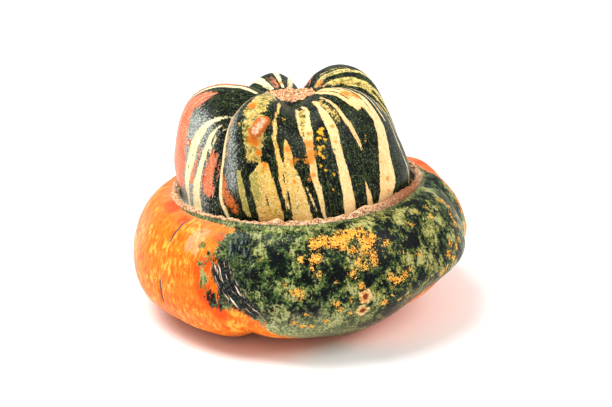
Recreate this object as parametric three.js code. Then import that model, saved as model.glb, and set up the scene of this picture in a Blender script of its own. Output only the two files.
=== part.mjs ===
// A small turban squash, standing on its stem end.
// One grown fruit and one closed body: a wide ribbed brim, a corky ring where the flower sat,
// and a cap of five bulging lobes above it with a corky scar sunk in its top.
// Millimetres, +Z up, +X to the right and -Y to the front; the origin is under the middle, on the table.
import * as THREE from 'three';
import { mergeVertices } from 'three/addons/utils/BufferGeometryUtils.js';

const { clamp, degToRad, euclideanModulo, lerp, smoothstep } = THREE.MathUtils;

// The outline over the crests of the lobes, as radius and height above the widest line of the brim.
// It runs from the middle of the top scar to the middle of the stem cut.
const OUTLINE = [
  [0, 59.2], [5, 59.5], [9.7, 59.9], [13, 60.5], [19, 61.8], [27, 62],
  [35, 58], [40.8, 50.5], [44, 41], [45, 33], [44.4, 27.5], [44.1, 24.8],
  [45.4, 25.2], [47, 26.5], [48.6, 25], [50.2, 24.7], [54.2, 23.6], [58.8, 19],
  [63, 11.5], [65.4, 2], [64.4, -5], [60.4, -11.7], [54, -17.4], [46, -21.4],
  [37, -23.6], [28, -24], [19.5, -22.4], [12.4, -20.4], [8.4, -23.2], [0, -23.2],
];
// Places along the outline, counted in its points
const SCAR_RIM = 2;
const CAP_FOOT = 11;
const CORK_RING = 13;
const WIDEST = 19;
const HOLLOW_START = 26;

// Height of the resting plane and the slopes of the fruit, in the same measure as the outline
const REST_Z = -23.2;
const RING_Z = 24.5;
const TILT_DEG = 3.3;
const LEAN = 0.058;
const CAP_LEAN = 0.06;
const FOOT_LEAN = 0.16;

// How deep the folds press in at each point of the outline: those of the cap, then those of the brim
const CAP_FOLD_DEPTH = [0, 0, 0.6, 3.2, 6, 7, 6.8, 6, 5, 3.4, 1.6, 0.2, ...Array(18).fill(0)];
const BRIM_FOLD_DEPTH = [
  ...Array(15).fill(0), 0.15, 0.7, 1, 1.1, 1.1, 1.1, 1.1, 1.1, 1.2, 1.2, 1, 0.5, 0, 0, 0,
];

// The folds of the cap in order around it, each opening the lobe that follows.
// foot and scar are the azimuths in degrees where it starts and ends; crest and shoulder swell the lobe.
const CAP_FOLDS = [
  { foot: 10, scar: 0, depth: 0.7, round: 1, crest: 3.6, shoulder: 2.4 },
  { foot: 76, scar: 80, depth: 1.8, round: 0.6, crest: 0.6, shoulder: -1 },
  { foot: 126, scar: 130, depth: 1, round: 0.6, crest: 2.2, shoulder: 0.8 },
  { foot: 227, scar: 200, depth: 1.6, round: 0.55, crest: 4.2, shoulder: 1 },
  { foot: 285, scar: 274, depth: 0.5, round: 1.6, crest: 3.2, shoulder: -2.4 },
];
const TWIST = 3;
// The scar sits off the middle of the cap
const SCAR_OFFSET = 1.5;

// The folds of the brim in order around it
const BRIM_FOLDS = [
  { foot: 12, depth: 2.1, round: 1 },
  { foot: 37, depth: 0.9, round: 1.5 },
  { foot: 64, depth: 0.9, round: 1.5 },
  { foot: 92, depth: 0.8, round: 1.5 },
  { foot: 126, depth: 0.9, round: 1.5 },
  { foot: 160, depth: 0.8, round: 1.5 },
  { foot: 190, depth: 0.6, round: 1.5 },
  { foot: 219, depth: 0.5, round: 1 },
  { foot: 252, depth: 2.5, round: 0.8 },
  { foot: 285, depth: 0.8, round: 1.2 },
  { foot: 317, depth: 0.6, round: 1.5 },
  { foot: 354, depth: 1.6, round: 1.2 },
];

// Parts of the brim that are fuller or flatter than the rest, between two places along the outline,
// and the knobs of the corky ring with their azimuth, reach and height
const UNEVEN = [
  { azimuth: 338, reach: 66, height: -4.2, from: 18.8, to: 25 },
  { azimuth: 266, reach: 26, height: -2.4, from: 21, to: 25.5 },
  { azimuth: 24, reach: 28, height: 0.6, from: 14, to: 19.5 },
];
const RING_KNOBS = [[261, 5, 0.7], [303, 8, 1], [196, 5, 0.8], [328, 40, 1.8], [30, 7, 0.9], [95, 6, 0.8], [150, 5, 0.9]];

// Grid of the surface
const COLUMN_STEP = 4.6;
const FOLD_SIDE_STEP = 1.4;
const ROWS_PER_SPAN = [1, 1, 2, 2, 2, 2, 2, 2, 2, 2, 2, 2, 2, 2, 2, 2, 2, 2, 2, 2, 2, 2, 2, 2, 2, 2, 1, 1, 1];

const spline = new THREE.SplineCurve(OUTLINE.map(([r, z]) => new THREE.Vector2(r, z)));
const spans = OUTLINE.length - 1;

function along(values, at) {
  const curve = new THREE.SplineCurve(values.map((v) => new THREE.Vector2(v, 0)));
  return curve.getPoint(at / spans).x;
}

// Where an azimuth lies between two folds: share across the lobe, and the folds on either side
function place(azimuth, folds) {
  let k = folds.length - 1;
  folds.forEach((fold, i) => { if (euclideanModulo(azimuth, 360) >= fold.foot) k = i; });
  const from = folds[k];
  const to = folds[(k + 1) % folds.length];
  const width = euclideanModulo(to.foot - from.foot, 360);
  return { share: euclideanModulo(azimuth - from.foot, 360) / width, from, to };
}

// A value that belongs to the folds, held near each and meeting halfway across the lobe
function between(key, { share, from, to }) {
  const near = share < 0.5 ? from[key] : to[key];
  return lerp(near, (from[key] + to[key]) / 2, 2 * Math.min(share, 1 - share));
}

// How far a fold presses in: nothing on the crest, all of it in the bottom of the fold
const press = (p) => between('depth', p) * (1 - Math.sin(Math.PI * p.share) ** between('round', p));

const window = (at, a, b, c, d) => smoothstep(at, a, b) * (1 - smoothstep(at, c, d));

function swelling(azimuth, centre, reach) {
  const off = euclideanModulo(azimuth - centre + 180, 360) - 180;
  return Math.cos(Math.PI / 2 * clamp(off / reach, -1, 1)) ** 2;
}

// The folds of the cap curl sideways as they near the scar
function curl(foot, at) {
  const { share, from, to } = place(foot, CAP_FOLDS);
  const turn = lerp(from.scar - from.foot, to.scar - to.foot, share);
  return turn * clamp((CAP_FOOT - at) / (CAP_FOOT - SCAR_RIM), 0, 1) ** TWIST;
}

function surfacePoint(foot, at) {
  const { x: radius, y: height } = spline.getPoint(at / spans);
  const slope = spline.getTangent(at / spans);
  const lobe = place(foot, CAP_FOLDS);
  const bulge = Math.sin(Math.PI * lobe.share);
  let out = -along(CAP_FOLD_DEPTH, at) * press(lobe);
  out += lobe.from.crest * bulge * window(at, 2, 4, 5.5, 7.5);
  out += lobe.from.shoulder * bulge * window(at, 4.5, 6.5, 8, 10);
  out -= along(BRIM_FOLD_DEPTH, at) * press(place(foot, BRIM_FOLDS));
  for (const { azimuth, reach, height: rise, from, to } of UNEVEN) {
    out += rise * swelling(foot, azimuth, reach) * window(at, from, from + 2.1, to - 2.4, to);
  }
  for (const [azimuth, reach, knob] of RING_KNOBS) {
    out += knob * swelling(foot, azimuth, reach) * window(at, CORK_RING - 1, CORK_RING, CORK_RING, CORK_RING + 1);
  }
  const r = Math.max(0, radius - slope.y * out);
  const z = height + slope.x * out;
  const azimuth = degToRad(foot + curl(foot, at));
  const lean = LEAN * z + CAP_LEAN * Math.max(z - RING_Z, 0) - FOOT_LEAN * Math.min(z, 0);
  const x = r * Math.cos(azimuth) - lean + SCAR_OFFSET * (1 - smoothstep(at, SCAR_RIM, SCAR_RIM + 4));
  const levelled = 1 - smoothstep(at, WIDEST, HOLLOW_START - 1);
  const tilted = z + x * Math.tan(degToRad(TILT_DEG)) * levelled;
  return new THREE.Vector3(x, r * Math.sin(azimuth), Math.max(tilted, REST_Z) - REST_Z);
}

// Columns follow every fold, with one close on either side of each fold of the cap
function columnAzimuths() {
  const feet = new Set([...CAP_FOLDS, ...BRIM_FOLDS].map((fold) => fold.foot));
  for (const { foot } of CAP_FOLDS) {
    feet.add(euclideanModulo(foot - FOLD_SIDE_STEP, 360));
    feet.add(euclideanModulo(foot + FOLD_SIDE_STEP, 360));
  }
  const fixed = [...feet].sort((a, b) => a - b);
  return fixed.flatMap((start, i) => {
    const gap = euclideanModulo(fixed[(i + 1) % fixed.length] - start, 360);
    const count = Math.ceil(gap / COLUMN_STEP);
    return Array.from({ length: count }, (_, step) => start + gap * step / count);
  });
}

// Rows climb from the stem cut to the scar
function rowPlaces() {
  const rows = ROWS_PER_SPAN.flatMap((n, span) => Array.from({ length: n }, (_, i) => span + i / n));
  return [...rows, spans].reverse();
}

function buildFruit() {
  const columns = columnAzimuths();
  const rows = rowPlaces();
  const turned = new THREE.LatheGeometry(rows.map((at) => spline.getPoint(at / spans)), columns.length);
  const position = turned.getAttribute('position');
  for (let i = 0; i <= columns.length; i += 1) {
    rows.forEach((at, j) => {
      const { x, y, z } = surfacePoint(columns[i % columns.length], at);
      position.setXYZ(i * rows.length + j, x, y, z);
    });
  }
  for (const name of ['uv', 'normal']) turned.deleteAttribute(name);
  const body = mergeVertices(turned, 1e-4);
  body.computeBoundingBox();
  const middle = body.boundingBox.getCenter(new THREE.Vector3());
  body.translate(-middle.x, -middle.y, 0);
  body.computeVertexNormals();
  return body;
}

const skin = new THREE.MeshStandardMaterial({ color: 0x5a6a35, roughness: 0.45, metalness: 0 });
const fruit = new THREE.Mesh(buildFruit(), skin);
fruit.name = 'fruit';

const squash = new THREE.Group();
squash.name = 'turban_squash';
squash.add(fruit);

export default squash;
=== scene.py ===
from math import cos, pi, radians, sin, tan

import bpy
import numpy as np
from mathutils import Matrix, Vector, noise


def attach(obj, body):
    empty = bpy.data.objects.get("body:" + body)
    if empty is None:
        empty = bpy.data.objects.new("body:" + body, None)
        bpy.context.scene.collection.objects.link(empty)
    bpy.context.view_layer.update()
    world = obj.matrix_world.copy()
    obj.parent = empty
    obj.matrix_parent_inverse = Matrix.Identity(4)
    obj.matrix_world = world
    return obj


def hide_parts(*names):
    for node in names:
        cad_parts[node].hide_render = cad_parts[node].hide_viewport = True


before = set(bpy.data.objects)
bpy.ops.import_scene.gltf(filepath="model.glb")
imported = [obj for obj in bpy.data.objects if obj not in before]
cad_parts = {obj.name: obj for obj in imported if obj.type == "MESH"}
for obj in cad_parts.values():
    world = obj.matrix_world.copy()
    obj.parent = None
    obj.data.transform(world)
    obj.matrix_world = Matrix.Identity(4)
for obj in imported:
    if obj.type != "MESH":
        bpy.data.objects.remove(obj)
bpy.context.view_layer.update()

# The body of the fruit
# A turban squash is one grown fruit: a wide ribbed brim, a corky ring where the flower sat, and a cap of
# five lobes above it. Its skin is one outline turned round, pressed in along the folds of cap and brim,
# and curled sideways where the folds of the cap reach the scar. Every size here is in millimetres.

# The outline over the crests of the lobes, as radius and height above the widest line of the brim. A
# place along it is counted in its points, from the middle of the scar to the middle of the stem cut.
OUTLINE = [
    (0, 59.2), (5, 59.5), (9.7, 59.9), (13, 60.5), (19, 61.8), (27, 62),
    (35, 58), (40.8, 50.5), (44, 41), (45, 33), (44.4, 27.5), (44.1, 24.8),
    (45.4, 25.2), (47, 26.5), (48.6, 25), (50.2, 24.7), (54.2, 23.6), (58.8, 19),
    (63, 11.5), (65.4, 2), (64.4, -5), (60.4, -11.7), (54, -17.4), (46, -21.4),
    (37, -23.6), (28, -24), (19.5, -22.4), (12.4, -20.4), (8.4, -23.2), (0, -23.2),
]
END = len(OUTLINE) - 1
SCAR_RIM = 2
CAP_FOOT = 11
CORK_RING = 13
WIDEST = 19
HOLLOW_START = 26
# Heights of the resting plane and the ring, the slopes of the fruit, and the curl of the folds
REST_Z = -23.2
RING_Z = 24.5
TILT = radians(3.3)
LEAN = 0.058
CAP_LEAN = 0.06
FOOT_LEAN = 0.16
SCAR_OFFSET = 1.5
TWIST = 3
# How deep the folds press in at each point of the outline
CAP_FOLD_DEPTH = [0, 0, 0.6, 3.2, 6, 7, 6.8, 6, 5, 3.4, 1.6, 0.2] + [0] * 18
BRIM_FOLD_DEPTH = [0] * 15 + [0.15, 0.7, 1, 1.1, 1.1, 1.1, 1.1, 1.1, 1.2, 1.2, 1, 0.5, 0, 0, 0]

# Folds of the cap: azimuth at the foot and at the scar, depth, roundness, and how far the lobe that
# follows swells at its crest and at its shoulder
CAP_FOLDS = np.array([
    (10, 0, 0.7, 1, 3.6, 2.4),
    (76, 80, 1.8, 0.6, 0.6, -1),
    (126, 130, 1, 0.6, 2.2, 0.8),
    (227, 200, 1.6, 0.55, 4.2, 1),
    (285, 274, 0.5, 1.6, 3.2, -2.4),
])
# Folds of the brim: azimuth, depth, roundness
BRIM_FOLDS = np.array([
    (12, 2.1, 1), (37, 0.9, 1.5), (64, 0.9, 1.5), (92, 0.8, 1.5), (126, 0.9, 1.5), (160, 0.8, 1.5),
    (190, 0.6, 1.5), (219, 0.5, 1), (252, 2.5, 0.8), (285, 0.8, 1.2), (317, 0.6, 1.5), (354, 1.6, 1.2),
])
# Fuller and flatter parts of the brim: azimuth, reach, height, and the places between which they lie
UNEVEN = [(338, 66, -4.2, 18.8, 25), (266, 26, -2.4, 21, 25.5), (24, 28, 0.6, 14, 19.5)]
# Knobs of the corky ring: azimuth, reach, height
RING_KNOBS = [
    (261, 5, 0.7), (303, 8, 1), (196, 5, 0.8), (328, 40, 1.8), (30, 7, 0.9), (95, 6, 0.8), (150, 5, 0.9),
]


def spline(values, at):
    """A smooth curve through values, read at a place counted in its points."""
    points = np.asarray(values, float)
    first = np.clip(np.floor(at).astype(int), 0, len(points) - 2)
    share = at - first
    if points.ndim == 2:
        share = share[..., None]
    before, start = points[np.maximum(first - 1, 0)], points[first]
    stop, after = points[first + 1], points[np.minimum(first + 2, len(points) - 1)]
    leave, arrive = (stop - before) / 2, (after - start) / 2
    cube = 2 * start - 2 * stop + leave + arrive
    square = 3 * stop - 3 * start - 2 * leave - arrive
    return ((cube * share + square) * share + leave) * share + start


def rise(value, low, high):
    """0 below low, 1 above high, eased between."""
    share = np.clip((value - low) / (high - low), 0, 1)
    return share * share * (3 - 2 * share)


def window(value, low, full, fading, gone):
    """1 between full and fading, eased to 0 at low and at gone."""
    return rise(value, low, full) * (1 - rise(value, fading, gone))


def turn_between(azimuth, centre):
    """Degrees from the centre to the azimuth, the short way round."""
    return np.mod(azimuth - centre + 180, 360) - 180


def swelling(azimuth, centre, reach):
    """1 at the centre, eased to 0 at the reach on either side of it."""
    return np.cos(pi / 2 * np.clip(turn_between(azimuth, centre) / reach, -1, 1)) ** 2


def place(azimuth, folds):
    """Share of the way from one fold to the next, and the numbers of the two folds."""
    behind = np.mod(np.searchsorted(folds[:, 0], np.mod(azimuth, 360), side="right") - 1, len(folds))
    ahead = np.mod(behind + 1, len(folds))
    width = np.mod(folds[ahead, 0] - folds[behind, 0], 360)
    return np.mod(azimuth - folds[behind, 0], 360) / width, behind, ahead


def pressed(folds, depth, roundness, azimuth):
    """How far the nearest fold presses in: nothing on the crest, all of it in the fold."""
    share, behind, ahead = place(azimuth, folds)

    def between(column):
        near = np.where(share < 0.5, folds[behind, column], folds[ahead, column])
        middle = (folds[behind, column] + folds[ahead, column]) / 2
        return near + (middle - near) * 2 * np.minimum(share, 1 - share)

    return between(depth) * (1 - np.sin(pi * share) ** between(roundness))


def outline_slope(at):
    """The way the outline runs, as a step in radius and height."""
    step = 1e-4
    slope = spline(OUTLINE, np.minimum(at + step, END)) - spline(OUTLINE, np.maximum(at - step, 0))
    return slope / np.linalg.norm(slope, axis=-1)[..., None]


def skin(foot, at):
    """Points of the skin, by azimuth at the foot of the cap and by place along the outline."""
    radius, height = np.moveaxis(spline(OUTLINE, at), -1, 0)
    slope = outline_slope(at)
    share, behind, ahead = place(foot, CAP_FOLDS)
    bulge = np.sin(pi * share)
    out = -spline(CAP_FOLD_DEPTH, at) * pressed(CAP_FOLDS, 2, 3, foot)
    out += CAP_FOLDS[behind, 4] * bulge * window(at, 2, 4, 5.5, 7.5)
    out += CAP_FOLDS[behind, 5] * bulge * window(at, 4.5, 6.5, 8, 10)
    out -= spline(BRIM_FOLD_DEPTH, at) * pressed(BRIM_FOLDS, 1, 2, foot)
    for centre, reach, swell, low, high in UNEVEN:
        out += swell * swelling(foot, centre, reach) * window(at, low, low + 2.1, high - 2.4, high)
    for centre, reach, knob in RING_KNOBS:
        ring = window(at, CORK_RING - 1, CORK_RING, CORK_RING, CORK_RING + 1)
        out += knob * swelling(foot, centre, reach) * ring
    turn = CAP_FOLDS[:, 1] - CAP_FOLDS[:, 0]
    curl = turn[behind] + (turn[ahead] - turn[behind]) * share
    curl = curl * np.clip((CAP_FOOT - at) / (CAP_FOOT - SCAR_RIM), 0, 1) ** TWIST
    r = np.maximum(0, radius - slope[..., 1] * out)
    z = height + slope[..., 0] * out
    around = np.radians(foot + curl)
    x = r * np.cos(around) - LEAN * z - CAP_LEAN * np.maximum(z - RING_Z, 0) + FOOT_LEAN * np.minimum(z, 0)
    x += SCAR_OFFSET * (1 - rise(at, SCAR_RIM, SCAR_RIM + 4))
    z = z + x * tan(TILT) * (1 - rise(at, WIDEST, HOLLOW_START - 1))
    return np.stack([x, r * np.sin(around), np.maximum(z, REST_Z) - REST_Z], -1)


# The rows and columns of the skin lie closer together at the ring, the scar, the warts and the folds.
ROWS = 214
COLUMNS = 436
# Warts: azimuth, place, radius, height, depth of the pit in the middle
WARTS = [
    (257.2, 6.36, 2.6, 0.9, 0.5),
    (259.5, 6.2, 2.9, 0.9, 0.5),
    (261.8, 6.02, 2.4, 0.9, 0.5),
    (290.6, 19.0, 2.7, 0.8, 0.7),
    (290.3, 19.82, 2.6, 0.8, 0.7),
    (97, 17.4, 2.3, 1.0, 0.4),
    (171, 18.6, 2.0, 0.9, 0.3),
    (205, 7.2, 1.6, 0.5, 0.0),
]


def spread(low, high, count, crowding):
    """Values from low to high, closer together where the crowding is higher."""
    fine = np.linspace(low, high, 6000)
    reach = np.cumsum(crowding(fine))
    return np.interp(np.linspace(reach[0], reach[-1], count), reach, fine)


def row_crowding(at):
    step = 1e-3
    pace = np.linalg.norm(spline(OUTLINE, np.minimum(at + step, END)) - spline(OUTLINE, at), axis=-1) / step
    ring = 1.5 * window(at, 10.4, 11.4, 14.0, 15.0)
    scar = 0.9 * (1 - rise(at, 1.8, 2.6))
    warts = 0.5 * window(at, 18.5, 18.8, 20, 20.3)
    return np.maximum(pace, 3) * (1 + (ring + scar + warts) - 0.45 * rise(at, 22, 24))


def column_crowding(azimuth):
    folds = 1.2 * sum(np.exp(-(turn_between(azimuth, fold) / 2.2) ** 2) for fold in CAP_FOLDS[:, 0])
    warts = 0.8 * swelling(azimuth, 256, 9) + 0.8 * swelling(azimuth, 290, 8)
    return 1 + folds + warts


places = spread(0, END, ROWS + 2, row_crowding)[1:-1]
azimuths = spread(0, 360, COLUMNS + 1, column_crowding)[:-1]
foot, at = np.meshgrid(azimuths, places)
smooth_skin = skin(foot, at)
scar_middle = skin(np.zeros(1), np.array([0.0]))[0]
stem_middle = skin(np.zeros(1), np.array([float(END)]))[0]


def soft_noise(points, size, seed):
    """Noise from about -1 to 1 whose lumps are of that size."""
    shifted = (points / size + seed).reshape(-1, 3)
    return np.array([noise.noise(Vector(p)) for p in shifted]).reshape(points.shape[:-1])


def outward(points):
    """Directions that stand straight out of a grid of points."""
    down = np.gradient(points, axis=0)
    across = np.roll(points, -1, axis=1) - np.roll(points, 1, axis=1)
    facing = np.cross(down, across)
    return facing / (np.linalg.norm(facing, axis=-1)[..., None] + 1e-9)


def gap_to(azimuth, spot):
    """Distance from a spot given by azimuth and place."""
    middle = skin(np.array([float(azimuth)]), np.array([float(spot)]))[0]
    return np.linalg.norm(smooth_skin - middle, axis=-1)


facing = outward(smooth_skin)
# Where the skin is cork: the ring, thinner on the left and right, the stem cut underneath, and the scar
thin = 0.4 * swelling(foot, 238, 40) + 0.3 * swelling(foot, 345, 30)
on_cork = window(at, 11.6 + thin, 12.2 + thin, 13.6 - thin, 13.95 - thin)
on_stem = rise(at + 0.15 * soft_noise(smooth_skin, 4.0, 71.0), 27.3, 27.6)
scar_edge = at + 0.3 * soft_noise(smooth_skin, 2.6, 61.0) + 0.2 * soft_noise(smooth_skin, 1.2, 67.0)
on_scar = 1 - rise(scar_edge, 1.75, 2.15)
# Broad and small lumps of the skin, none in the ring or on the resting face
relief = 0.32 * soft_noise(smooth_skin, 16, 3.0) + 0.14 * soft_noise(smooth_skin, 6, 9.0)
relief *= 1 - window(at, 10.6, 11.4, 14.2, 15.5)
relief *= 1 - rise(at, 22, 24)
# The ring is a line of dry cork beads, split crosswise, and the scar a dry crust with a raised lip
grain = soft_noise(smooth_skin, 1.5, 21.0)
relief += on_cork * (0.1 + 0.7 * soft_noise(smooth_skin, 2.8, 31.0) + 0.5 * grain)
relief += on_scar * (0.4 + 1.3 * soft_noise(smooth_skin, 2.6, 41.0) + 0.9 * grain)
relief += 0.7 * window(at, 1.45, 1.85, 2.0, 2.3)
ragged = 1 + 0.3 * soft_noise(smooth_skin, 2.3, 51.0) + 0.25 * soft_noise(smooth_skin, 1.1, 57.0)
wart_gap = np.full_like(at, 99.0)
for azimuth, spot, radius, height, pit in WARTS:
    gap = gap_to(azimuth, spot) / radius * ragged
    relief += height * (1 - rise(gap, 0.75, 1.1)) - pit * (1 - rise(gap, 0.3, 0.75))
    wart_gap = np.minimum(wart_gap, gap)
# Thin grooves where the ribs of the brim meet, with painted shade along them: azimuth at their top
# and bottom, first and last place, depth
RIB_LINES = [
    (221, 217, 14.6, 17.8, 0.7), (217, 219, 18.4, 20.6, 0.6), (349, 352, 14.3, 17.2, 0.5),
    (126, 126, 14.6, 20, 0.6), (64, 64, 14.6, 20, 0.6), (160, 160, 15, 20, 0.5),
]
rib_shade = np.zeros_like(at)
for first, last, low, high, depth in RIB_LINES:
    middle = np.interp(at, [low, high], [first, last])
    groove = swelling(foot, middle, 1.3) * window(at, low, low + 0.5, high - 0.7, high)
    rib_shade = np.maximum(rib_shade, groove)
    relief -= depth * groove
grown_skin = smooth_skin + facing * relief[..., None]
grown_skin[..., 2] = np.maximum(grown_skin[..., 2], 0)
# The part's own box is centred on the origin, so the skin is moved as far as the part's outline was
shift = np.array([0.1531, 0.2995, 0])
# Four-sided faces between the rows, and a fan of three-sided ones round the middle of scar and stem cut
inner = np.arange(ROWS * COLUMNS).reshape(ROWS, COLUMNS)
right = np.roll(inner, -1, axis=1)
quads = np.stack([inner[:-1], inner[1:], right[1:], right[:-1]], -1).reshape(-1, 4).tolist()
top = ROWS * COLUMNS
bottom = top + 1
caps = [(top, a, b) for a, b in zip(inner[0].tolist(), right[0].tolist())]
caps += [(bottom, b, a) for a, b in zip(inner[-1].tolist(), right[-1].tolist())]
points = np.vstack([grown_skin.reshape(-1, 3), scar_middle, stem_middle]) + shift
fruit_mesh = bpy.data.meshes.new("fruit_skin")
fruit_mesh.from_pydata((points * 0.001).tolist(), [], quads + caps)
fruit_mesh.shade_smooth()
fruit = bpy.data.objects.new("fruit_skin", fruit_mesh)
bpy.context.collection.objects.link(fruit)

# The markings of the skin
# The colours of the rind grew with it, except a painted grey sheen on the left of the cap, a painted
# salmon highlight on the brim and painted shade along the rib grooves. The cap has cream and orange
# stripes on dark green, the brim is orange behind and mottled green in front, with corky flakes. Each
# marking is kept on the skin as the distance in millimetres inside its edge, and the rind's finish breaks
# that edge up.

# Millimetres of skin in a degree of azimuth and in a place of the outline
per_degree = np.maximum(spline(OUTLINE, at)[..., 0], 3) * pi / 180
pace = spline(OUTLINE, np.minimum(at + 0.05, END)) - spline(OUTLINE, np.maximum(at - 0.05, 0))
per_place = np.linalg.norm(pace, axis=-1) / 0.1


def stripe(*course):
    """Distance inside a stripe, given by its edges: (place, first azimuth, last azimuth), ..."""
    stations, first, last = np.array(course, float).T
    middle = np.interp(at, stations, (first + last) / 2)
    half = np.interp(at, stations, (last - first) / 2)
    across = (half - np.abs(turn_between(foot, middle))) * per_degree
    beyond = np.maximum(stations[0] - at, at - stations[-1]) * per_place
    return np.minimum(across, -beyond)


def joined(*markings):
    """Several markings as one."""
    return np.maximum.reduce(markings)


# Cream stripes of the cap, lobe by lobe
pale = joined(
    # front left lobe: its rim along the fold, a short stripe, a wide one, a thin one and the middle one
    stripe((4.6, 248, 251), (5, 244, 247), (5.6, 238.5, 241.5), (6, 234.8, 238.6), (6.5, 232.6, 237),
           (7, 230.6, 235.6), (7.5, 229.5, 234.4), (8, 229, 233.2), (9, 229.4, 232.8), (9.5, 230, 233),
           (10, 232.3, 235), (10.9, 235.6, 237.2)),
    stripe((7.65, 245.2, 247.4), (8, 244.7, 247.8), (8.5, 245, 248.4), (9, 245.5, 248.8),
           (9.6, 245, 249), (10.2, 247, 249.2)),
    stripe((7.35, 257.4, 261.2), (7.6, 254.7, 261.9), (7.8, 252, 262.4), (8, 251.7, 262.7),
           (8.5, 252, 263.5), (9, 252.5, 264.2), (10, 252.7, 264.7), (11.4, 253.2, 264.6)),
    stripe((4.4, 270.8, 272.4), (5, 269.4, 271), (5.5, 268, 269.8), (6, 266.5, 267.9),
           (6.5, 265.4, 267.1), (7, 265.5, 267.2), (7.5, 265.4, 267.6), (8, 265.2, 267.1),
           (8.5, 265.7, 267.5), (9, 266.4, 267.9), (9.6, 266.2, 267.2)),
    stripe((6.5, 270.6, 271.6), (7, 269.3, 272.7), (7.5, 267.7, 273), (8, 267.7, 274.9),
           (9, 268.7, 276.6), (10, 268.5, 277.4), (11.4, 269, 278.3)),
    # front right lobe
    stripe((3.7, 292, 293.6), (4.4, 291.5, 293.8), (5, 289.3, 292.3), (5.5, 286, 290), (6, 283, 288),
           (6.5, 281.5, 286.4), (7, 280.4, 284.8), (8, 280.3, 283.6), (9, 282, 284.6),
           (10, 282.5, 284.2), (10.9, 283.3, 284.3)),
    stripe((3.6, 285, 287.5), (4.2, 283.5, 286.5), (5, 281.2, 283.6), (6, 280, 281.5),
           (6.6, 280.6, 281.4)),
    stripe((8.4, 277, 277.8), (9.4, 279, 280), (9.8, 279.8, 280.2)),
    stripe((4.2, 301.5, 302.8), (4.6, 300.5, 303.5), (5, 299, 302.4), (5.5, 297.4, 302.6),
           (6, 296.6, 302.8), (6.5, 296.6, 302.2), (7, 295.6, 300.6), (8, 295, 300), (9, 294, 299.6),
           (11.2, 293.6, 298.6)),
    stripe((4.4, 308, 309.2), (5, 308.2, 310), (5.5, 308.6, 310.9), (6, 308.4, 311),
           (6.5, 309.6, 312.2), (7, 310.6, 313), (7.4, 311.6, 312.5)),
    stripe((8.7, 307.6, 308.4), (9.2, 306.6, 309), (11.2, 306, 309.6)),
    stripe((2.8, 318, 326), (3.5, 315, 328), (4, 313.6, 331), (4.5, 314.8, 333), (5, 316.5, 334),
           (5.5, 318, 335), (5.9, 320.5, 324)),
    stripe((5.3, 323, 335), (5.7, 325, 335.4), (6, 326.4, 335.2), (6.5, 328.3, 336.6),
           (7, 326.8, 337.3), (8, 320.6, 330.6), (9, 316.5, 328.5), (10, 313.5, 323.5),
           (11.2, 312.5, 322.5)),
    stripe((4.8, 338, 339.2), (5.4, 339.2, 340.8), (6, 339.4, 341.2), (6.8, 342, 343.6)),
    stripe((4.8, 343, 344.2), (5.6, 345.6, 347.2), (6.4, 347, 348.6)),
    stripe((5, 355, 356.5), (6.5, 352.6, 354), (8, 347.4, 349), (10.5, 343.4, 345)),
    stripe((6, 360, 361.4), (8, 357, 358.4), (11, 354, 356)),
    # back right lobe
    stripe((4.4, 13.4, 14.4), (6, 12.4, 13.3), (8, 12.4, 13.2)),
    stripe((4.6, 19.4, 21.4), (5.5, 18, 20), (6.5, 15.6, 17.6), (8, 14.5, 16), (10.8, 14, 15.4)),
    stripe((3.2, 24, 27), (4, 24.6, 27), (5, 23.6, 26), (6, 20.5, 24), (7, 19.4, 22.6), (8, 18.5, 21.5),
           (10.8, 18, 21)),
    stripe((2.6, 30, 37), (3.5, 31.4, 37), (4, 32, 36), (5, 31.4, 35), (6, 30.4, 32.6), (7, 28.5, 30.5),
           (8, 27, 29), (10.8, 26.5, 28.5)),
    stripe((3.6, 38.6, 39.6), (4.4, 38.2, 39), (5.2, 37, 37.8)),
    stripe((6, 37, 40), (9, 35, 39), (10.8, 34, 38)),
    stripe((5, 50, 54), (8, 48, 54), (11, 47, 53)),
    stripe((4, 62, 65), (8, 61, 65), (11, 60, 66)),
    # back left lobe
    stripe((3, 84, 88), (6, 83, 87), (11, 83, 90)),
    stripe((2.6, 96, 101), (5, 95.5, 101), (8, 93, 100), (11, 92, 99)),
    stripe((3, 113, 118), (6, 111, 117.5), (11, 108, 115)),
    # left lobe
    stripe((3, 140, 148), (6, 138, 147), (11, 134, 144)),
    stripe((4, 153, 156), (11, 150, 154)),
    stripe((2.8, 179, 189), (3.5, 178, 187), (4, 177.2, 183), (5, 176.8, 181.5), (5.6, 177.4, 180.6),
           (6.1, 178, 179.4)),
    stripe((4.6, 220.6, 221.5), (5, 218.7, 219.9), (5.5, 215.3, 217.6), (6, 212, 215.3),
           (6.5, 209.3, 214), (7, 207.2, 212.8), (8, 205.2, 210.2), (9, 204, 207.4), (10, 203, 205.8),
           (10.8, 203.3, 206)),
    stripe((5.3, 222, 222.7), (6, 219, 220.4), (6.5, 217.5, 219.6), (7, 216.5, 219.2),
           (8, 213.8, 217.1), (9, 211, 216.2), (10, 209.7, 216.5), (11.2, 209.5, 217.5)),
    stripe((5.6, 223.4, 224), (6.2, 221.1, 221.7), (7.3, 219.8, 220.4)),
)
# Dark slits along the widest stripes of the front right, the back right and the front left lobe
slits = joined(
    stripe((3.2, 319.6, 320.6), (4, 318.6, 319.8), (4.8, 319.6, 320.6), (5.4, 321.6, 322.2)),
    stripe((3.6, 324.6, 325.6), (4.2, 324.4, 325.8), (4.8, 326.4, 327.4)),
    stripe((4.2, 329.6, 330.4), (5, 330.6, 331.8), (5.6, 330.2, 331.2), (6.2, 330.4, 330.9)),
    stripe((3.4, 33.6, 34.2), (4.4, 33.4, 34.1), (5.4, 32.4, 33)),
    stripe((8.6, 258, 258.6), (9.6, 259, 259.6), (10.4, 259.4, 259.8)),
)
pale = np.minimum(pale, -slits)
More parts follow.
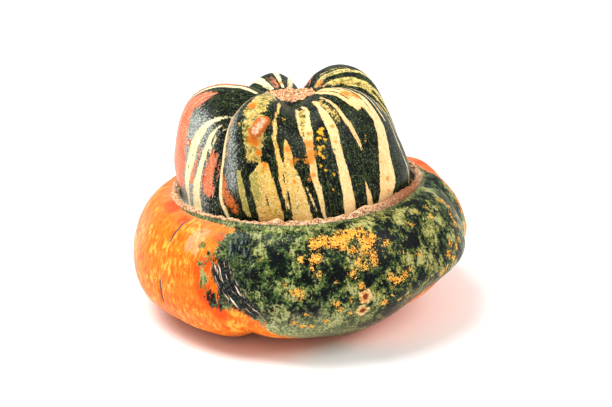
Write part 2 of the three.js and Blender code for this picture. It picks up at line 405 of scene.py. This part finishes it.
# Orange bands and streaks of the cap
warm = joined(
    stripe((3.6, 158, 176), (4.4, 160, 176.5), (5.4, 162, 176.5), (6.2, 162, 177), (7, 160, 172),
           (10, 158, 167)),
    stripe((4.9, 188.5, 194.5), (5.3, 183, 197), (5.7, 181, 199), (6, 179, 197.5), (6.5, 178, 199.5),
           (7, 177, 200.6), (7.5, 176, 203.8), (8, 176, 205.4), (8.8, 178, 204.4), (9.5, 182, 201)),
    stripe((7.2, 213, 215.6), (8, 210.6, 213.6), (8.8, 207.8, 211)),
    stripe((7.2, 222, 224.2), (7.7, 218.3, 225), (8.3, 216.6, 225), (8.9, 217.4, 225), (9.4, 221, 224)),
    stripe((2.8, 104, 109), (4.4, 104, 108)),
    stripe((3.0, 50, 62), (4.2, 52, 60)),
)
# Mottled columns: two on the front right lobe, one on the back right lobe, and one on the front left lobe
# above its widest stripe
mustard = joined(
    stripe((4.3, 286.5, 291.5), (5, 283.6, 289.3), (5.6, 281.5, 286), (6.2, 281.2, 283)),
    stripe((4.6, 303, 305.5), (5.3, 303.5, 306), (6, 303.5, 306.5)),
    stripe((3.8, 22, 25.4), (5, 21, 23.6), (6, 18, 21)),
    stripe((3.6, 256, 266), (4.4, 255, 265.5), (5, 252.5, 264), (5.5, 250, 262), (6, 251, 261.5),
           (6.5, 250.3, 260.6), (7, 251, 258.7), (7.35, 252, 258)),
)
# Where the brim is green: place and azimuth along its left edge and its right edge
GREEN_LEFT = np.array([
    (13.5, 196), (14.2, 214), (14.6, 236), (15.2, 243.5), (16, 243), (16.5, 241), (17, 239), (17.5, 238.6),
    (18, 240), (18.5, 242.5), (19, 245.5), (19.4, 248), (19.7, 252), (20, 256), (20.5, 260), (21, 264),
    (21.5, 268), (22, 272), (23, 285),
])
GREEN_RIGHT = np.array([
    (13.5, 396), (15, 371), (16, 363), (18, 361), (19, 357), (20, 342), (20.5, 331), (21, 320), (22, 303),
    (23, 290),
])
green_from = np.interp(at, *GREEN_LEFT.T)
green_to = np.interp(at, *GREEN_RIGHT.T)
green = (green_to - green_from) / 2 - np.abs(turn_between(foot, (green_to + green_from) / 2))
green = np.minimum(green * per_degree, (GREEN_LEFT[-1, 0] - at) * per_place)


def spots(*marks):
    """Soft spots that add up to at most 1: (azimuth, place, radius), ..."""
    clear = np.ones_like(at)
    for azimuth, spot, radius in marks:
        clear *= 1 - 0.95 * np.exp(-(gap_to(azimuth, spot) / radius) ** 2)
    return 1 - clear


# Olive blotches beyond the green's left edge
olive = spots(
    (238.5, 17.2, 2.6), (238, 18.2, 4.0), (241, 18.8, 4.6), (244, 19.2, 4.0), (235.5, 17.7, 2.6),
    (234.5, 16.9, 2.4), (231.5, 16.2, 1.8),
)
green = joined(green, 12 * olive - 9.4)
# Orange blushes, the rusty patch and the peach haze of the cap, and its small yellow freckles
blush = spots(
    (254.5, 5.4, 2.3), (258, 6.2, 1.6), (256.5, 6.7, 2.0), (254, 6.6, 1.6), (257.5, 7.05, 1.5),
    (259.5, 7.45, 1.4), (283.4, 6.7, 2.4), (282, 7.2, 2.6), (280, 7.4, 2.0), (285.5, 7.1, 1.4),
    (281.6, 7.9, 1.2), (285, 6.2, 1.0), (279, 8.05, 1.3), (271.5, 6.9, 1.8), (272.5, 7.4, 1.6),
    (274.5, 7.3, 1.2), (272, 8.1, 1.0), (300.5, 6.1, 1.0), (298.5, 6.8, 0.9), (325, 5.1, 2.6),
    (330, 5.4, 2.0), (322.5, 8.9, 1.2), (321, 9.6, 0.9), (341, 6.1, 1.0), (31, 3.2, 2.4),
    (98, 3.4, 1.6), (113, 6, 3), (50, 7, 3), (142, 8, 3),
)
rust = spots(
    (232.5, 8, 1.6), (235.5, 8.3, 2.2), (233.5, 8.8, 2.2), (237.5, 8.9, 2.2), (240, 9.3, 2.2),
    (236.5, 9.4, 2.0), (240.5, 9.8, 1.4), (231, 7.6, 1.2),
)
peach = spots((241, 5.9, 2.2), (238, 6.5, 2.4), (236, 7.1, 2.2), (243, 5.5, 1.6), (233, 7.5, 1.6))
freckles = spots(
    (291.5, 6.2, 0.9), (289.5, 6.5, 1.0), (288, 6.9, 0.9), (287.4, 7.15, 0.9), (292.8, 6.35, 0.8),
    (292, 8.0, 0.6), (316, 7.1, 0.6), (317.5, 6.9, 0.7), (272, 5.7, 0.8), (294, 6.1, 0.9),
    (293, 6.6, 0.8), (290.5, 6.9, 0.9), (289, 7.3, 0.8), (286.5, 7.6, 0.7), (288.6, 7.8, 0.7),
    (290, 8.7, 0.5), (246, 4.9, 0.9), (243, 5.3, 0.8), (248, 6.1, 0.8), (320, 4.9, 0.7),
    (318, 5.4, 0.6),
)
# Yellow corky flakes of the brim
flakes = spots(
    (276, 16.6, 2.6), (279.5, 16.5, 2.6), (283, 16.7, 2.2), (285, 16.4, 2.6), (288, 16.3, 2.8),
    (291, 16.3, 2.2), (286, 16.9, 1.8), (294, 16.1, 1.8), (295, 16.9, 2.8), (293.5, 17.3, 2.6),
    (297, 16.7, 2.2), (296, 17.6, 1.8), (289, 17.2, 2.0), (290, 17.7, 1.6), (271, 17.3, 1.6),
    (275, 17.4, 2.0), (277, 17.3, 1.8), (276.5, 17.95, 1.6), (274.5, 17.75, 0.9), (287.5, 18.1, 2.0),
    (292, 17.95, 1.6), (295.5, 17.85, 1.6), (290, 18.6, 1.6), (302, 17.15, 1.4), (300.5, 17.3, 0.9),
    (300, 18.5, 1.8), (302, 18.7, 2.2), (305.5, 18.6, 1.8), (308, 18.45, 1.2), (314, 16.6, 0.9),
    (316.5, 16.8, 1.1), (322, 16.2, 0.8), (313.5, 18.1, 1.3), (307.5, 17.8, 0.9), (329, 16.3, 1.0),
    (327.5, 16.9, 1.3), (339, 16.5, 1.5), (342, 16.7, 1.6), (340, 17.4, 1.7), (339.5, 17.8, 1.8),
    (344, 17.2, 1.6), (343, 18.2, 1.8), (346, 17.7, 1.4), (337, 18.4, 1.6), (331, 18.3, 1.6),
    (328, 18.6, 1.8), (331, 18.9, 1.8), (334, 18.6, 1.4), (323.5, 19.3, 1.8), (326, 19.1, 1.4),
    (265.5, 18.25, 1.1), (267.5, 18.5, 1.1), (270, 18.6, 2.4), (281.5, 19.2, 1.6), (283, 19.6, 1.1),
    (297.5, 19.6, 1.6), (300, 19.3, 0.9), (286, 19.05, 0.9), (286.5, 19.9, 0.9), (268, 20, 1.4),
    (271, 20.3, 1.4), (274, 20.4, 1.4), (272, 19.6, 0.9), (281.6, 18.3, 0.7), (257, 17.3, 0.5),
    (263.5, 17.0, 0.5), (304, 19.8, 1.4), (309, 19.9, 1.2), (279, 20.2, 1.2), (262, 19.2, 0.7),
)
# The warts and the pits in them
warty = 1 - rise(wart_gap, 0.75, 1.15)
pitted = 1 - rise(wart_gap, 0.25, 0.7)
# A painted grey sheen lies over the side of the left lobe, and a little of it on the flank of the next one
painted_sheen = swelling(foot, 206, 34) * rise(at, 4.9, 6.4)
painted_sheen += 0.8 * swelling(foot, 241, 12) * window(at, 4.2, 5.2, 8.2, 9.4)
# Where the orange of the brim glows redder, and where a painted highlight pales it to salmon
ember = spots(
    (238, 17.6, 4.5), (237.5, 18.5, 5), (240.5, 19.0, 4.5), (235, 17.9, 4), (244.5, 19.8, 4),
    (241, 16.3, 4), (20, 15.6, 5), (12, 16.2, 5), (198, 14.8, 5), (206, 15.2, 5), (218, 15.6, 4),
    (70, 17, 8), (110, 18, 8), (145, 17, 7),
)
salmon_highlight = spots((231, 16.5, 3.4), (234, 16.2, 3), (228.5, 17.0, 2.6), (232, 17.2, 2.2))

# Growth cracks healed as pale scratches on a dark band, where the green grew over the orange
CRACK = np.array([(242.5, 17.4), (245, 18.1), (248, 18.6), (251, 19.1), (254.5, 19.5), (258.5, 19.9)])
crack_line = skin(*CRACK.T)
crack_across = np.full_like(at, 99.0)
crack_along = np.zeros_like(at)
walked = 0.0
for start, stop in zip(crack_line[:-1], crack_line[1:]):
    run = stop - start
    length = np.linalg.norm(run)
    share = np.clip((smooth_skin - start) @ run / length ** 2, 0, 1)
    away = smooth_skin - (start + share[..., None] * run)
    side = np.sign(np.cross(run, away)[..., 2] + 1e-9) * np.linalg.norm(away, axis=-1)
    nearer = np.abs(side) < np.abs(crack_across)
    crack_across = np.where(nearer, side, crack_across)
    crack_along = np.where(nearer, walked + share * length, crack_along)
    walked += length

# The skin unrolled into a drum, in millimetres, for marks that are drawn out along the outline
MEAN_RADIUS = 45
fine = np.linspace(0, END, 2001)
paces = np.linalg.norm(np.diff(spline(OUTLINE, fine), axis=0), axis=-1)
arc = np.interp(at, fine, np.concatenate([[0], np.cumsum(paces)]))
drum_x = MEAN_RADIUS * np.cos(np.radians(foot))
drum_y = MEAN_RADIUS * np.sin(np.radians(foot))

# Darker and lighter patches of the green
shade = spots(
    (303, 16.8, 3.4), (307.5, 17.2, 3.2), (261, 17.2, 3.4), (264, 17.7, 3.0), (279, 17.8, 2.4),
    (283, 18.0, 2.2), (297.5, 17.3, 2.6), (299.5, 17.9, 2.2), (323, 15.0, 2.6), (328, 15.2, 2.6),
    (293, 18.4, 2.4), (312, 17.6, 3.0), (336, 17.0, 2.6), (259, 16.0, 2.4), (288, 15.6, 2.0),
)
bright = spots(
    (266, 16.3, 3.2), (269.5, 16.8, 2.8), (273.5, 18.4, 2.6), (278, 18.8, 2.6), (256.5, 16.8, 2.4),
    (311, 16.4, 3.0), (316, 17.4, 2.6), (322, 17.8, 3.0), (306, 18.0, 2.4), (330, 17.2, 2.4),
    (286, 18.6, 2.2), (300, 15.6, 2.6),
)
# Moss on two stripes in front, and blue-grey streaks at the left end of the green
moss_short = swelling(foot, 247, 6) * window(at, 7, 7.6, 10.4, 11)
moss_wide = swelling(foot, 254, 5) * window(at, 7.4, 7.8, 8.6, 9.4)
slate = swelling(foot, 248, 8) * window(at, 15, 15.8, 18.4, 20.5)
# The stripes are lemon at the back, peach on the right and ochre in front; the ring is ruddy on the right
lemon = swelling(foot, 20, 50)
peachy = swelling(foot, 312, 45)
ochre = swelling(foot, 262, 42)
ruddy = swelling(foot, 330, 50) * (1 - rise(at, 15, 20))


def keep(name, *layers):
    """Keeps three values on the skin under a name, for the rind's finish to read."""
    grid = np.stack(layers, -1).reshape(-1, 3)
    middles = [[layer[row].mean() for layer in layers] for row in (0, -1)]
    rows = np.vstack([grid, middles])
    attribute = fruit_mesh.attributes.new(name, "FLOAT_VECTOR", "POINT")
    attribute.data.foreach_set("vector", rows.astype(np.float32).ravel())


keep("unrolled", drum_x, drum_y, arc)
keep("stripes", pale, warm, green)
keep("tints", mustard, peach, painted_sheen)
keep("spots", blush, freckles, flakes)
keep("crust", np.maximum(on_cork, on_stem), on_scar, warty)
keep("crack", crack_across, crack_along, np.abs(crack_across))
keep("glow", ember, rust, lemon)
keep("ribs", rib_shade, peachy, ruddy)
keep("moss", moss_short, moss_wide, salmon_highlight)
keep("slate", slate, shade, bright)
keep("place", at, ochre, pitted)

# The rind
# Hard waxy squash rind: a thin satin cuticle over coloured skin, with fine pores on the green, and dry
# matt cork where the skin has healed. The colours lie in the skin; only cork and warts stand proud.


def tone(code):
    """A colour as it is seen, turned into the light that the shader works in."""
    parts = [int(code[i:i + 2], 16) / 255 for i in (0, 2, 4)]
    return tuple(p / 12.92 if p <= 0.04045 else ((p + 0.055) / 1.055) ** 2.4 for p in parts) + (1.0,)


class Wire:
    """The output of a node, written in sums."""

    def __init__(self, finish, socket):
        self.finish, self.socket = finish, socket

    def sum(self, operation, other, swapped=False):
        first, second = (other, self) if swapped else (self, other)
        return self.finish.node("ShaderNodeMath", {"operation": operation}, {0: first, 1: second})

    def __add__(self, other):
        return self.sum("ADD", other)

    def __sub__(self, other):
        return self.sum("SUBTRACT", other)

    def __rsub__(self, other):
        return self.sum("SUBTRACT", other, swapped=True)

    def __mul__(self, other):
        return self.sum("MULTIPLY", other)

    __radd__ = __add__
    __rmul__ = __mul__


class Finish:
    """A material and the ways its nodes are made."""

    def __init__(self, name):
        self.material = bpy.data.materials.new(name)
        self.material.use_nodes = True
        self.tree = self.material.node_tree
        self.shader = self.tree.nodes["Principled BSDF"]

    def plug(self, socket, value):
        if isinstance(value, Wire):
            self.tree.links.new(value.socket, socket)
        else:
            socket.default_value = value

    def node(self, kind, settings, sockets, out=0):
        made = self.tree.nodes.new(kind)
        for name, value in settings.items():
            setattr(made, name, value)
        for name, value in sockets.items():
            self.plug(made.inputs[name], value)
        return Wire(self, made.outputs[out])

    def read(self, name):
        """The three values kept on the skin under a name."""
        vector = self.node("ShaderNodeAttribute", {"attribute_name": name}, {}, "Vector")
        return [self.node("ShaderNodeSeparateXYZ", {}, {0: vector}, axis) for axis in (0, 1, 2)]

    def grain(self, where, scale, detail, rough):
        sockets = {"Vector": where, "Scale": scale, "Detail": detail, "Roughness": rough}
        return self.node("ShaderNodeTexNoise", {}, sockets, "Fac")

    def stretch(self, where, x, y, z):
        return self.node("ShaderNodeVectorMath", {"operation": "MULTIPLY"}, {0: where, 1: (x, y, z)})

    def step(self, value, low, high):
        """0 below low, 1 above high, eased between."""
        sockets = {"Value": value, "From Min": low, "From Max": high}
        return self.node("ShaderNodeMapRange", {"interpolation_type": "SMOOTHSTEP"}, sockets)

    def mix(self, share, first, second):
        return self.node("ShaderNodeMix", {"data_type": "RGBA"}, {0: share, 6: first, 7: second}, 2)


rind = Finish("squash_rind")
lay = rind.node("ShaderNodeAttribute", {"attribute_name": "unrolled"}, {}, "Vector")
pale_in, warm_in, green_in = rind.read("stripes")
mustard_in, peach_at, painted_sheen_at = rind.read("tints")
blush_at, freckle_at, flake_at = rind.read("spots")
cork_at, scar_at, wart_at = rind.read("crust")
across, along, away = rind.read("crack")
ember_at, rust_at, lemon_at = rind.read("glow")
rib_shade_at, peachy_at, ruddy_at = rind.read("ribs")
place_at, ochre_at, pit_at = rind.read("place")
moss_short_at, moss_wide_at, salmon_highlight_at = rind.read("moss")
slate_at, shade_at, bright_at = rind.read("slate")

# The grain of the skin, from broad clouds to single pores; streaks and hairs run along the outline
millimetres = rind.stretch(rind.node("ShaderNodeTexCoord", {}, {}, "Object"), 1000, 1000, 1000)
streaky = rind.stretch(lay, 1, 1, 0.22)
fibres = rind.grain(streaky, 0.55, 4.0, 0.6)
hairs = rind.grain(rind.stretch(lay, 1, 1, 0.16), 1.7, 3.0, 0.6)
clouds = rind.grain(millimetres, 0.13, 3.0, 0.6)
patchy = rind.grain(millimetres, 0.42, 5.0, 0.68)
grit = rind.grain(millimetres, 1.1, 4.0, 0.7)
pores = rind.grain(millimetres, 2.3, 2.0, 0.6)
stipple = (grit - 0.5) * 1.4 + (pores - 0.5) * 1.2
specks = rind.grain(millimetres, 1.7, 1.0, 0.5)
mottle = rind.grain(rind.stretch(lay, 1, 1, 0.6), 0.62, 5.0, 0.72)

# Cap: near black ground with green hairs and fine pale pores, and a painted grey sheen on the left
ground = rind.mix(rind.step(patchy, 0.45, 0.66), tone("030507"), tone("10190c"))
ground = rind.mix(rind.step(hairs, 0.5, 0.64) * 0.65, ground, tone("38481f"))
ground = rind.mix(rind.step(specks + (patchy - 0.5) * 0.4, 0.58, 0.68) * 0.55, ground, tone("6a7550"))
# Painted grey sheen and pale painted glints on the left lobes
ground = rind.mix(rind.step(painted_sheen_at + stipple * 1.2, 0.4, 1.1) * 0.8, ground, tone("8b9089"))
ground = rind.mix(rind.step(painted_sheen_at + (specks - 0.5) * 3, 0.75, 1.15) * 0.6, ground, tone("c2c6ba"))
ground = rind.mix(rind.step(peach_at + stipple * 1.3, 0.62, 0.8) * 0.9, ground, tone("d08c68"))
rusty = rust_at * 1.2 + rind.step(rust_at, 0.1, 0.3) * (stipple * 2.4 + (hairs - 0.5) * 1.5)
ground = rind.mix(rind.step(rusty, 0.7, 0.86) * 0.9, ground, tone("d8702e"))
ground = rind.mix(rind.step(blush_at + stipple * 1.6, 0.72, 0.86) * 0.85, ground, tone("c67a22"))
ground = rind.mix(rind.step(freckle_at + stipple * 1.2, 0.5, 0.62), ground, tone("dca52c"))

# Cap: orange bands, streaked with grey
band = rind.mix(rind.step(fibres, 0.35, 0.7), tone("d9552e"), tone("ee8350"))
band = rind.mix(rind.step(hairs + (grit - 0.5) * 0.3, 0.47, 0.6) * 0.7, band, tone("83786a"))
band = rind.mix(rind.step(specks, 0.55, 0.66) * 0.5, band, tone("ffc4a0"))
warm_mask = rind.step(warm_in + (fibres - 0.5) * 9 + (hairs - 0.5) * 8 + stipple * 1.5, 0.0, 0.8)

# Cap: stripes, cream at the sides, lemon at the back, peach on the right and ochre in front
cream = rind.mix(lemon_at, tone("f0e3b2"), tone("d2bf66"))
cream = rind.mix(peachy_at, cream, tone("ecbc7c"))
cream = rind.mix(ochre_at, cream, tone("dcb052"))
cream = rind.mix(rind.step(hairs, 0.46, 0.64) * 0.5, cream, tone("cf9f50"))
cream = rind.mix(rind.step(mottle, 0.5, 0.62) * ochre_at * 0.8, cream, tone("b88626"))
blotches = rind.grain(millimetres, 0.5, 3.0, 0.6)
cream = rind.mix(rind.step(blotches, 0.58, 0.68) * ochre_at * 0.85, cream, tone("6c7a2a"))
smudges = rind.grain(millimetres, 0.6, 3.0, 0.6) + lemon_at * 0.12
cream = rind.mix(rind.step(smudges, 0.63, 0.7) * 0.8, cream, tone("66702c"))
cream = rind.mix(rind.step(specks, 0.56, 0.66) * 0.5, cream, tone("fff2cc"))
cream = rind.mix(rind.step(blush_at + stipple * 0.9, 0.28, 0.8) * 0.92, cream, tone("d9791a"))
mossy = rind.step(moss_short_at + moss_wide_at + stipple * 2.2, 0.5, 0.8)
cream = rind.mix(mossy * 0.8, cream, tone("7f8438"))
pale_mask = rind.step(pale_in + (fibres - 0.5) * 1.5 + (hairs - 0.5) * 1.6 + stipple * 0.6, -0.12, 0.16)

# Cap: the mottled columns
moss = rind.mix(rind.step(patchy, 0.4, 0.56), tone("585a1e"), tone("bd9a44"))
moss = rind.mix(rind.step(grit, 0.5, 0.62) * 0.8, moss, tone("e8d79c"))
moss = rind.mix(rind.step(blush_at + stipple * 0.9, 0.35, 0.8), moss, tone("cf6c16"))
moss_mask = rind.step(mustard_in + stipple * 2.4 + (patchy - 0.5) * 4, -0.6, 0.3)

cap = rind.mix(warm_mask, ground, band)
cap = rind.mix(moss_mask, cap, moss)
cap = rind.mix(pale_mask, cap, cream)

# Brim: orange with yellow flecks along its length, redder near the green and by the ring
flecks = rind.grain(rind.stretch(lay, 1, 1, 0.42), 0.75, 4.0, 0.62)
orange = rind.mix(rind.step(flecks, 0.36, 0.52), tone("dc5a0a"), tone("ea7614"))
orange = rind.mix(rind.step(flecks + (clouds - 0.5) * 0.7, 0.54, 0.66) * 0.9, orange, tone("f9b040"))
orange = rind.mix(rind.step(hairs, 0.54, 0.68) * 0.45, orange, tone("f2a454"))
near_ring = 1 - rind.step(place_at + (fibres - 0.5) * 3, 14.4, 16.4)
orange = rind.mix(near_ring * 0.55, orange, tone("e87a54"))
# A painted pale salmon highlight on the orange
salmon_highlight_mask = rind.step(salmon_highlight_at + (fibres - 0.5) * 2 + (specks - 0.5), 0.35, 0.9)
orange = rind.mix(salmon_highlight_mask * 0.38, orange, tone("f4bc98"))
orange = rind.mix(rind.step(ember_at + (flecks - 0.5) * 1.6, 0.35, 1.0) * 0.85, orange, tone("e63e06"))

# Brim: green, mottled from near black to sage, with yellow corky flakes
leaf = rind.mix(rind.step(mottle + (grit - 0.5) * 0.6, 0.42, 0.56), tone("060d0b"), tone("20381c"))
lightness = clouds + bright_at * 0.065 - shade_at * 0.15
sage = rind.step(lightness + (mottle - 0.5) * 1.1 + (grit - 0.5) * 0.7, 0.5, 0.62)
leaf = rind.mix(sage * 0.75, leaf, rind.mix(peachy_at, tone("5c6e2e"), tone("8c8234")))
sheen = rind.step(grit + (lightness - 0.5) * 1.1 + (hairs - 0.5) * 0.6, 0.57, 0.69)
leaf = rind.mix(sheen * 0.68, leaf, tone("b2b074"))
leaf = rind.mix(rind.step(specks, 0.58, 0.68) * 0.45, leaf, tone("86925a"))
leaf = rind.mix((1 - rind.step(lightness + (mottle - 0.5) * 0.9, 0.38, 0.46)) * 0.92, leaf, tone("03060a"))
leaf = rind.mix(slate_at * rind.step(hairs, 0.4, 0.6) * 0.8, leaf, tone("1a2426"))
leaf = rind.mix(slate_at * rind.step(hairs, 0.56, 0.66) * 0.6, leaf, tone("7c8c8c"))
low_down = rind.step(place_at + (mottle - 0.5) * 4, 18.9, 20.6) * ochre_at
leaf = rind.mix(low_down * 0.6, leaf, rind.mix(rind.step(grit, 0.42, 0.6), tone("6a7c4c"), tone("d2cb98")))
by_ring = 1 - rind.step(place_at + (hairs - 0.5) * 2.0, 14.1, 14.9)
leaf = rind.mix(by_ring * 0.45, leaf, rind.mix(rind.step(hairs, 0.44, 0.6), tone("4c5a34"), tone("a3a86c")))
flake_mask = rind.step(flake_at + stipple * 1.7 + (mottle - 0.5) * 1.2, 0.6, 0.7)
flake = rind.mix(rind.step(pores, 0.42, 0.62), tone("d88212"), tone("f3bd58"))
flake = rind.mix(rind.step(patchy, 0.52, 0.62) * 0.75, flake, tone("b4640e"))
green_mask = rind.step(green_in + (fibres - 0.5) * 16 + (mottle - 0.5) * 16 + (grit - 0.5) * 9, -0.6, 0.8)

brim = rind.mix(green_mask, orange, leaf)
brim = rind.mix(flake_mask, brim, flake)
# Painted blue-grey shade along the rib grooves
brim = rind.mix(rind.step(rib_shade_at + stipple * 0.2, 0.5, 0.76) * 0.92, brim, tone("2c424c"))

# Dark band of the growth cracks, narrowing downwards, with pale scratches along it
narrow = along * (1.6 / walked)
near_crack = 1 - rind.step(away + narrow + (mottle - 0.5) * 7 + (grit - 0.5) * 3, 3.4, 4.4)
in_run = rind.step(along, 0.2, 3.0) * (1 - rind.step(along, walked - 3.0, walked - 0.2))
bruise = rind.mix(rind.step(grit, 0.45, 0.65), tone("080c12"), tone("34403c"))
brim = rind.mix(near_crack * in_run * 0.95, brim, bruise)
run = rind.node("ShaderNodeCombineXYZ", {}, {0: across * 1.15, 1: along * 0.11, 2: 0.0})
torn = rind.grain(run, 1.0, 4.0, 0.68)
scratch = rind.step(torn + (specks - 0.5) * 0.16, 0.55, 0.59)
scratch_mask = scratch * in_run * (1 - rind.step(away + narrow, 3.2, 5.0))
brim = rind.mix(scratch_mask, brim, rind.mix(rind.step(torn, 0.56, 0.64), tone("b88a64"), tone("ffecd6")))

on_brim = rind.step(place_at, 12.4, 12.6)
skin_colour = rind.mix(on_brim, cap, brim)

# Cork of the ring, the scar and the warts
cork = rind.mix(rind.step(grit, 0.4, 0.58), tone("b06a3c"), tone("efbd8c"))
cork = rind.mix(rind.step(specks, 0.52, 0.64) * 0.8, cork, tone("ffe6c8"))
cork = rind.mix(rind.step(ruddy_at + (grit - 0.5) * 1.6, 0.4, 1.1) * 0.85, cork, tone("84421f"))
cork = rind.mix((1 - rind.step(patchy + (specks - 0.5) * 0.3, 0.36, 0.44)) * 0.8, cork, tone("5a2814"))
crust = rind.mix(rind.step(grit, 0.4, 0.56), tone("b46434"), tone("efb07a"))
crust = rind.mix(rind.step(specks, 0.53, 0.62) * 0.85, crust, tone("ffe8c4"))
crust = rind.mix((1 - rind.step(grit + (pores - 0.5) * 0.6, 0.38, 0.46)) * 0.85, crust, tone("6a2c12"))
lip = rind.mix(rind.step(grit, 0.42, 0.6), tone("c8843c"), tone("efd29a"))
lip = rind.mix(rind.step(pit_at + stipple * 0.9, 0.4, 0.8), lip, tone("7c3212"))
cap_pit = rind.mix(rind.step(grit, 0.42, 0.6), tone("c98a5c"), tone("ecc8ae"))
cap_lip = rind.mix(rind.step(pit_at + stipple * 0.8, 0.3, 0.8), tone("b8581a"), cap_pit)
lip = rind.mix(on_brim, cap_lip, lip)
cork_mask = rind.step(cork_at + (grit - 0.5) * 1.0, 0.25, 0.45)
scar_mask = rind.step(scar_at + (grit - 0.5) * 0.8, 0.3, 0.5)
wart_mask = rind.step(wart_at + stipple * 0.7, 0.5, 0.75)
colour = rind.mix(wart_mask * 0.9, skin_colour, lip)
colour = rind.mix(cork_mask, colour, cork)
colour = rind.mix(scar_mask, colour, crust)

dry = cork_mask + scar_mask + flake_mask * 0.5 + scratch_mask * 0.6 + wart_mask * 0.6
rind.plug(rind.shader.inputs["Base Color"], colour)
WAXY_ROUGHNESS = 0.36
CORK_ROUGHNESS = 0.85
rind.plug(rind.shader.inputs["Roughness"], (WAXY_ROUGHNESS + dry * 0.45).sum("MINIMUM", CORK_ROUGHNESS))
height = (fibres - 0.5) * 0.1 + (specks - 0.5) * 0.08 + flake_mask * 0.2 + scratch_mask * 0.16
height = height + (cork_mask + scar_mask) * ((grit - 0.5) * 1.2 + (specks - 0.5) * 0.5)
bump = rind.node("ShaderNodeBump", {}, {"Strength": 0.9, "Distance": 0.001, "Height": height})
rind.plug(rind.shader.inputs["Normal"], bump)
rind.shader.inputs["Specular IOR Level"].default_value = 0.09

fruit_mesh.materials.append(rind.material)
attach(fruit, "root")
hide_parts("fruit")

# The floor
# A plain pale table top that runs out of the picture on every side.
floor_mesh = bpy.data.meshes.new("floor")
floor_mesh.from_pydata([(-3, -3, 0), (3, -3, 0), (3, 3, 0), (-3, 3, 0)], [], [(0, 1, 2, 3)])
floor = bpy.data.objects.new("floor", floor_mesh)
bpy.context.collection.objects.link(floor)
paper = Finish("pale_floor")
paper.shader.inputs["Base Color"].default_value = (0.9, 0.89, 0.88, 1)
paper.shader.inputs["Roughness"].default_value = 0.6
floor_mesh.materials.append(paper.material)

# Light and camera
# Soft daylight from every side, with three broad lamps: one high above, one high on the left and one in
# front on the right. The camera stands half a metre away and looks a little down on the fruit.
DAYLIGHT = 0.66
LAMP_SIZE = 0.5
world = bpy.data.worlds.new("daylight")
world.use_nodes = True
world.node_tree.nodes["Background"].inputs["Color"].default_value = (1, 1, 1, 1)
world.node_tree.nodes["Background"].inputs["Strength"].default_value = DAYLIGHT
bpy.context.scene.world = world
bpy.context.scene.view_settings.view_transform = "Standard"
# The middle of the fruit's widest line, which the lamps face
equator = Vector((0.00015, 0.0003, -REST_Z * 0.001))


def lamp(name, position, watts):
    light = bpy.data.lights.new(name, "AREA")
    light.shape = "DISK"
    light.size = LAMP_SIZE
    light.energy = watts
    made = bpy.data.objects.new(name, light)
    made.location = position
    made.rotation_euler = (equator - made.location).to_track_quat("-Z", "Y").to_euler()
    bpy.context.collection.objects.link(made)


lamp("lamp_above", Vector((-0.3, -0.1, 0.95)), 6.5)
lamp("lamp_left", Vector((-0.55, 0.1, 0.75)), 4.5)
lamp("lamp_right", Vector((0.55, -0.3, 0.6)), 4.0)

LOOK_DOWN = radians(21)
DISTANCE = 0.566
LENS = 85
SENSOR = 36
# The picture's size, and where the middle of the widest line lies in it, in pixels
PICTURE_WIDTH = 612
PICTURE_HEIGHT = 407
MIDDLE_X = 300.5
MIDDLE_Y = 243
lens = bpy.data.cameras.new("camera")
lens.lens = LENS
lens.sensor_width = SENSOR
camera = bpy.data.objects.new("camera", lens)
back = Vector((0, -cos(LOOK_DOWN), sin(LOOK_DOWN)))
up = Vector((0, sin(LOOK_DOWN), cos(LOOK_DOWN)))
camera.location = equator + back * DISTANCE
aside = Vector((1, 0, 0)) * (PICTURE_WIDTH / 2 - MIDDLE_X) + up * (MIDDLE_Y - PICTURE_HEIGHT / 2)
middle_view = equator + aside * DISTANCE / (PICTURE_WIDTH * LENS / SENSOR)
camera.rotation_euler = (middle_view - camera.location).to_track_quat("-Z", "Y").to_euler()
bpy.context.collection.objects.link(camera)
bpy.context.scene.camera = camera
